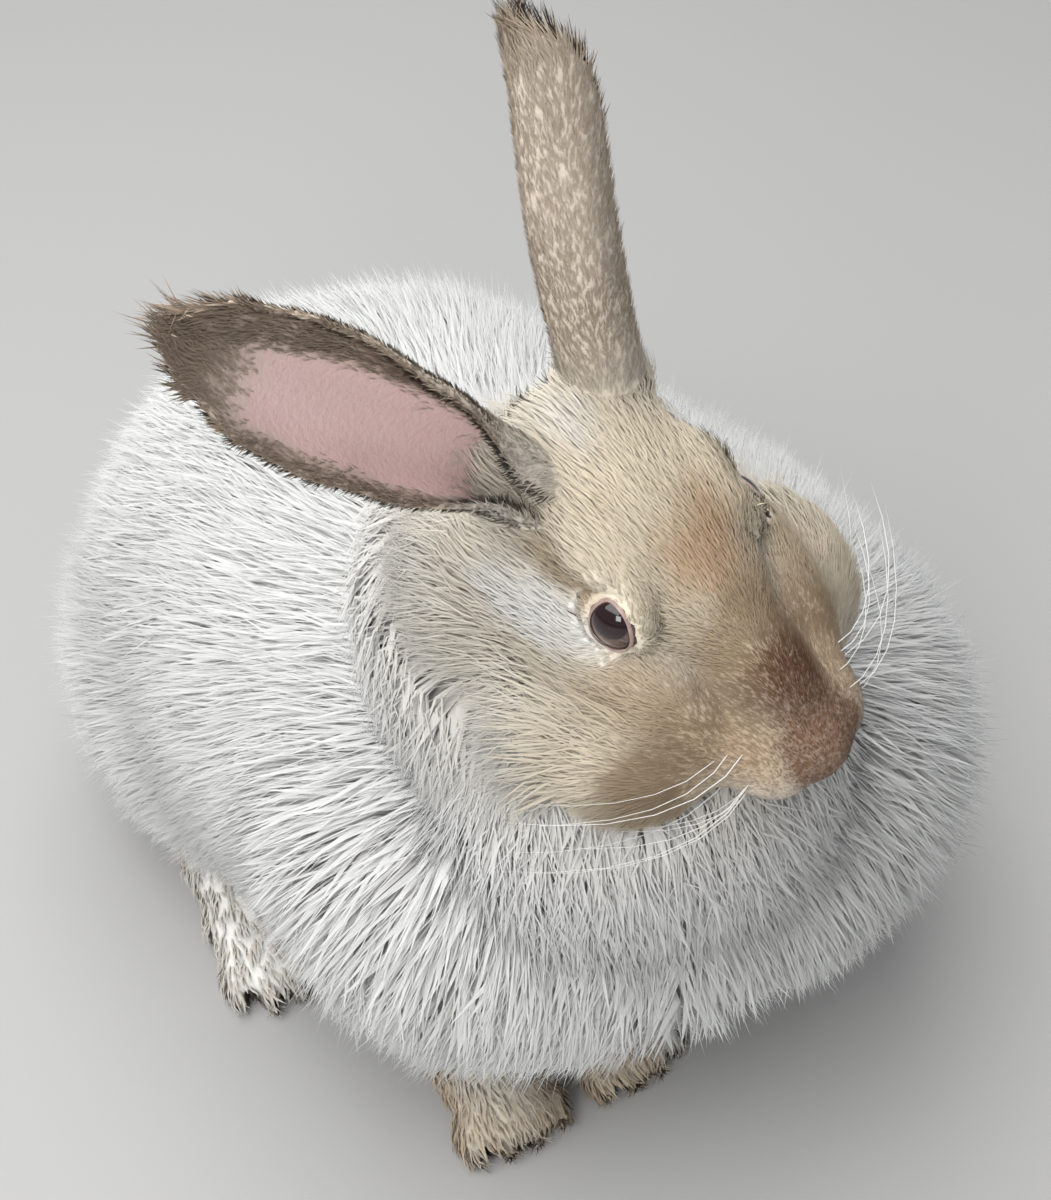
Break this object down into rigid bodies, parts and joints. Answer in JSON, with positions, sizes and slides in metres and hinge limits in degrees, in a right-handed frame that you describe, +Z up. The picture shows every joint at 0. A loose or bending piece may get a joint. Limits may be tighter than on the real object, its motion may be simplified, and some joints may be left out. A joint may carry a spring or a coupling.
{
  "type": "angora rabbit",
  "caption": "Life-size still model of a sitting long-wooled rabbit, head turned to its left, one ear upright and one held out to the side.",
  "frame": {"origin": "on the floor, at the middle of the model's box seen from above", "axes": "+Z up; the rabbit's body faces -Y and its left side is towards +X, with the spine turned 8 degrees from Y"},
  "size_m": [0.2652, 0.3178, 0.3504],
  "materials": {
    "wool": "long, soft white wool",
    "fawn_fur": "short fawn fur, darker on the nose",
    "pale_fawn_fur": "short cream fur with a fawn flush",
    "eye": "wet gloss"
  },
  "bodies": {
    "root": {"head": "fawn_fur", "eye_left": "eye", "eye_right": "eye", "ear_left": "fawn_fur", "ear_right": "fawn_fur", "neck": "wool", "torso": "wool", "tail": "wool", "foreleg_left": "wool", "foreleg_right": "wool", "forefoot_left": "pale_fawn_fur", "forefoot_right": "pale_fawn_fur", "hindleg_left": "wool", "hindleg_right": "wool", "hindfoot_left": "pale_fawn_fur", "hindfoot_right": "pale_fawn_fur"}
  },
  "joints": []
}
